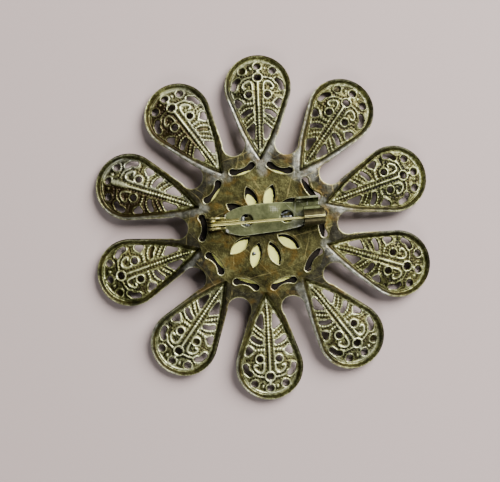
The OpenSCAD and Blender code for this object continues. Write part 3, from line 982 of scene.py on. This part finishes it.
def makeHingeGroup():
    # how far a place is out of the painted shade over the hinge: 0 at the coil's left side, 1 past
    # its middle
    group, given, out = newGroup("hingeShade", {}, ["Clear"])
    split = group.nodes.new("ShaderNodeSeparateXYZ")
    group.links.new(given["Vector"], split.inputs[0])
    low, high = (clasp["hingeX"] - 0.9) * mm, (clasp["hingeX"] + 0.5) * mm
    group.links.new(addRange(group, split.outputs[0], low, high), out["Clear"])
    return group


scratchGroup = makeScratchGroup()
patinaGroup = makePatinaGroup()
hingeGroup = makeHingeGroup()


def addHingeShade(tree, place, colour):
    # painted shade over the hinge's left side
    return addMix(tree, placeGroup(tree, hingeGroup, place)["Clear"], (0.012, 0.01, 0.004), colour)


def startMetal(name, large, small, scratchSize):
    # the three numbers are the scales of its clouds, its specks and its scratches
    material, tree, shader = newMaterial(name)
    place = tree.nodes.new("ShaderNodeTexCoord").outputs["Object"]
    patina = placeGroup(tree, patinaGroup, place, Large=large, Small=small)
    scratches = placeGroup(tree, scratchGroup, place, Scale=scratchSize)["Mask"]
    return material, tree, shader, place, patina, scratches


def finishMetal(tree, shader, patina, colour, metallic, roughLow, height, grain, depth):
    # clouds in the roughness, and a fine bump of the height, as strong as the grain
    tree.links.new(colour, shader.inputs["Base Color"])
    shader.inputs["Metallic"].default_value = metallic
    rough = plus(tree, times(tree, patina["Clouds"], 0.14), roughLow)
    tree.links.new(rough, shader.inputs["Roughness"])
    bump = tree.nodes.new("ShaderNodeBump")
    bump.inputs["Strength"].default_value = grain
    bump.inputs["Distance"].default_value = depth * mm
    tree.links.new(height, bump.inputs["Height"])
    tree.links.new(bump.outputs[0], shader.inputs["Normal"])


bronze = {   # colours by level, from the dark recesses to worn edges, and what lies over them
    "dish": [(0.0, (0.004, 0.0035, 0.0003)), (0.22, (0.013, 0.012, 0.0015)),
             (0.46, (0.065, 0.068, 0.018)), (0.7, (0.25, 0.266, 0.11)), (1.0, (0.84, 0.87, 0.5))],
    "dishBrown": (0.13, 0.08, 0.012),
    "flat": [(0.0, (0.004, 0.003, 0.0003)), (0.3, (0.014, 0.011, 0.0015)),
             (0.5, (0.058, 0.054, 0.013)), (0.7, (0.17, 0.165, 0.058)), (1.0, (0.55, 0.54, 0.36))],
    "flatBrown": (0.125, 0.075, 0.009),
    "scratch": (0.5, 0.42, 0.16),
    "stain": (0.03, 0.016, 0.004),
    "silver": (0.28, 0.285, 0.25),
}


def bronzeMaterial():
    # the patina follows the tone: one look in the petals' dishes, another on the disc and the necks
    material, tree, shader, place, patina, scratches = startMetal("antique_bronze", 210, 1500, 620)
    marks = [addAttribute(tree, label) for label in ("tone", "plain", "silver", "stain")]
    tone, plain, silver, stain = marks
    clouds, specks, grain = [patina[k] for k in ("Clouds", "Specks", "Grain")]
    shift = plus(tree, swing(tree, specks, 0.34), swing(tree, grain, 0.6))
    shift = times(tree, shift, minus(tree, 1.0, times(tree, plain, 0.5)))
    shift = plus(tree, shift, swing(tree, clouds, 0.17))
    level = minus(tree, plus(tree, tone, shift), times(tree, stain, 0.22))
    inDish = addRamp(tree, level, bronze["dish"])
    inDish = addMix(tree, times(tree, clouds, 0.2), inDish, bronze["dishBrown"])
    brown = swing(tree, addNoise(tree, place, 330, 5, 0.6), 6.0, 0.52)
    brown = addMath(tree, "MINIMUM", addMath(tree, "MAXIMUM", brown, 0.0), 0.7)
    flat = addMix(tree, brown, addRamp(tree, level, bronze["flat"]), bronze["flatBrown"])
    flat = addMix(tree, times(tree, scratches, 0.32), flat, bronze["scratch"])
    colour = addMix(tree, plain, inDish, flat)
    colour = addMix(tree, times(tree, stain, 0.5), colour, bronze["stain"])
    worn = times(tree, minus(tree, 1.3, times(tree, clouds, 1.2)), plus(tree, specks, 0.4))
    colour = addMix(tree, times(tree, times(tree, silver, worn), 0.75), colour, bronze["silver"])
    finishMetal(tree, shader, patina, colour, 0.7, 0.34, plus(tree, grain, specks), 0.5, 0.04)
    return material


def simpleMetal(name, dark, light, bright, roughLow, metal=0.8, scratched=0.3, grain=0.3,
        hingeShaded=True):
    # clouds from dark to light, and bright scratches
    material, tree, shader, place, patina, scratches = startMetal(name, 420, 2200, 1100)
    share = plus(tree, times(tree, patina["Clouds"], 0.6), times(tree, patina["Specks"], 0.4))
    colour = addMix(tree, share, dark, light)
    colour = addMix(tree, times(tree, scratches, scratched), colour, bright)
    # painted shade over the hinge's left side
    if hingeShaded:
        colour = addHingeShade(tree, place, colour)
    finishMetal(tree, shader, patina, colour, metal, roughLow, patina["Grain"], grain, 0.02)
    return material


toneStops = {   # colours by tone
    "painted_shade_dark": [(0.0, (0.008, 0.006, 0.004)), (0.3, (0.024, 0.016, 0.01)),
        (1.0, (0.05, 0.04, 0.02))],
    "olive_plate": [(0.0, (0.02, 0.02, 0.008)), (0.3, (0.095, 0.108, 0.044)),
        (0.5, (0.175, 0.19, 0.088)), (0.75, (0.4, 0.41, 0.3)), (1.0, (0.75, 0.75, 0.66))],
    "ear_brass": [(0.0, (0.03, 0.026, 0.008)), (0.4, (0.15, 0.135, 0.045)),
        (0.7, (0.34, 0.32, 0.13)), (1.0, (0.8, 0.77, 0.5))],
    "barrel_brass": [(0.0, (0.03, 0.024, 0.008)), (0.4, (0.1, 0.092, 0.034)),
        (0.6, (0.2, 0.185, 0.08)), (1.0, (0.76, 0.72, 0.32))],
    "clear_glue": [(0.0, (0.012, 0.012, 0.011)), (0.45, (0.06, 0.065, 0.065)),
        (0.8, (0.24, 0.26, 0.28))],
}


def toneMetal(name, roughLow, brushed=False, grain=0.3, hingeShaded=False):
    # its colour follows the mesh's tone, with clouds and specks; brushed lines run across the pin
    material, tree, shader, place, patina, scratches = startMetal(name, 380, 1700, 900)
    level = plus(tree, addAttribute(tree, "tone"), swing(tree, patina["Specks"], 0.14))
    level = plus(tree, level, swing(tree, patina["Clouds"], 0.12))
    if brushed:
        lines = addStretch(tree, place, math.radians(clasp["turn"]), (1, 14, 14))
        level = plus(tree, level, swing(tree, addNoise(tree, lines, 6000, 2), 0.5))
    stops = toneStops[name]
    colour = addMix(tree, times(tree, scratches, 0.2), addRamp(tree, level, stops), stops[-1][1])
    # painted shade over the hinge's left side
    if hingeShaded:
        colour = addHingeShade(tree, place, colour)
    finishMetal(tree, shader, patina, colour, 0.8, roughLow, patina["Grain"], grain, 0.02)
    return material


def glueMaterial():
    # clear bluish glue, milky in its middle
    material, tree, shader = newMaterial("clear_glue")
    place = tree.nodes.new("ShaderNodeTexCoord").outputs["Object"]
    milk = times(tree, addAttribute(tree, "tone"), addNoise(tree, place, 2600, 3))
    tree.links.new(addRamp(tree, milk, toneStops["clear_glue"]), shader.inputs["Base Color"])
    shader.inputs["Roughness"].default_value = 0.25
    shader.inputs["Coat Weight"].default_value = 0.3
    return material


def dress(things, material, slot, *nodes):
    for thing in things:
        thing.data.materials.append(material)
        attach(thing, "barrel" if slot == "catch_barrel" else "brooch")
        if nodes:
            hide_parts(*nodes)


dress(petals + [disc], bronzeMaterial(), "flower_plate", "flower_plate")
# the painted shade sheet behind the disc
dress([shadeSheetPiece], toneMetal("painted_shade_dark", 0.6), "flower_plate")
dress(claspParts, toneMetal("olive_plate", 0.36), "clasp_base", "clasp_base")
dress(ears, toneMetal("ear_brass", 0.36, grain=0.03, hingeShaded=True), "clasp_base", "clasp_base")
dress([barrel], toneMetal("barrel_brass", 0.3, brushed=True), "catch_barrel", "catch_barrel")
dress(glue, glueMaterial(), "clasp_base")

drawnWire = (0.26, 0.95, 0.05, 0.03)   # roughness, metallic, scratches and grain
nodeLooks = {   # dark, light and scratch colour, then the surface's values
    "front_disc": simpleMetal("cream_disc",
        (0.69, 0.69, 0.15), (0.8, 0.82, 0.22), (0.85, 0.86, 0.4), 0.6, 0.0, hingeShaded=False),
    "hinge_rivet": simpleMetal("rivet_brass",
        (0.2, 0.17, 0.05), (0.32, 0.28, 0.1), (0.7, 0.65, 0.4), 0.25),
    "spring_tail": simpleMetal("tail_brass",
        (0.27, 0.24, 0.075), (0.37, 0.34, 0.12), (0.8, 0.75, 0.5), *drawnWire),
    "pin_wire": simpleMetal("pin_brass",
        (0.44, 0.41, 0.14), (0.56, 0.53, 0.21), (0.85, 0.8, 0.55), *drawnWire),
}
for node, look in nodeLooks.items():
    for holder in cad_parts[node].material_slots:
        holder.material = look
print("materials made")


# floor, light and camera

studio = {
    "floor": (0.43, 0.35, 0.34),
    "lens": 80.0,
    "tiltX": -2.0,        # the camera leans towards the photo's lower edge
    "tiltY": 0.7,
    "roll": 0.2,
    "shift": (2.24, 2.62),    # of the brooch in the picture, millimetres
    "far": 191.1,
    "sky": [(0.0, (0.05, 0.05, 0.055)), (0.5, (0.3, 0.3, 0.3)), (1.0, (1.0, 1.0, 0.97))],
    "skyStrength": 0.2,
}


def makeFloor():
    mesh = bpy.data.meshes.new("floor")
    half = 1.5
    corners = [(-half, -half, 0), (half, -half, 0), (half, half, 0), (-half, half, 0)]
    mesh.from_pydata(corners, [], [(0, 1, 2, 3)])
    floor = bpy.data.objects.new("floor", mesh)
    bpy.context.scene.collection.objects.link(floor)
    material, _, shader = newMaterial("pale_floor")
    shader.inputs["Base Color"].default_value = (*studio["floor"], 1)
    shader.inputs["Roughness"].default_value = 0.9
    mesh.materials.append(material)


def addLight(name, place, aim, size, power, colour=(1, 1, 1)):
    data = bpy.data.lights.new(name, "AREA")
    data.shape = "DISK"
    data.size = size
    data.energy = power
    data.color = colour
    lamp = bpy.data.objects.new(name, data)
    lamp.location = place
    lamp.rotation_euler = (Vector(aim) - Vector(place)).to_track_quat("-Z", "Y").to_euler()
    bpy.context.scene.collection.objects.link(lamp)


def makeCamera():
    ax, ay, az = (math.radians(studio[k]) for k in ("tiltX", "tiltY", "roll"))
    turn = Matrix.Rotation(ax, 3, "X") @ Matrix.Rotation(ay, 3, "Y") @ Matrix.Rotation(az, 3, "Z")
    back = turn.transposed()
    spot = back @ Vector((-studio["shift"][0], -studio["shift"][1], studio["far"]))
    spot = spot + Vector((0, 0, plateTop))
    data = bpy.data.cameras.new("camera")
    data.lens = studio["lens"]
    data.sensor_width = 36
    data.sensor_fit = "HORIZONTAL"
    data.clip_start = 0.001
    camera = bpy.data.objects.new("camera", data)
    camera.matrix_world = Matrix.Translation(spot * mm) @ back.to_4x4()
    bpy.context.scene.collection.objects.link(camera)
    bpy.context.scene.camera = camera


def makeWorld():
    world = bpy.data.worlds.new("studio")
    bpy.context.scene.world = world
    world.use_nodes = True
    tree = world.node_tree
    split = tree.nodes.new("ShaderNodeSeparateXYZ")
    tree.links.new(tree.nodes.new("ShaderNodeTexCoord").outputs["Generated"], split.inputs[0])
    side = plus(tree, times(tree, split.outputs[0], 0.45), times(tree, split.outputs[1], 0.35))
    background = tree.nodes["Background"]
    tree.links.new(addRamp(tree, plus(tree, side, 0.5), studio["sky"]), background.inputs["Color"])
    background.inputs["Strength"].default_value = studio["skyStrength"]


makeFloor()
makeCamera()
makeWorld()
addLight("key", (0.3, 0.3, 0.34), (0, 0, 0), 0.46, 11.0, (1, 0.98, 0.95))
addLight("fill", (0.02, -0.36, 0.26), (0, 0, 0), 0.2, 0.9)
print("floor, lights and camera made")
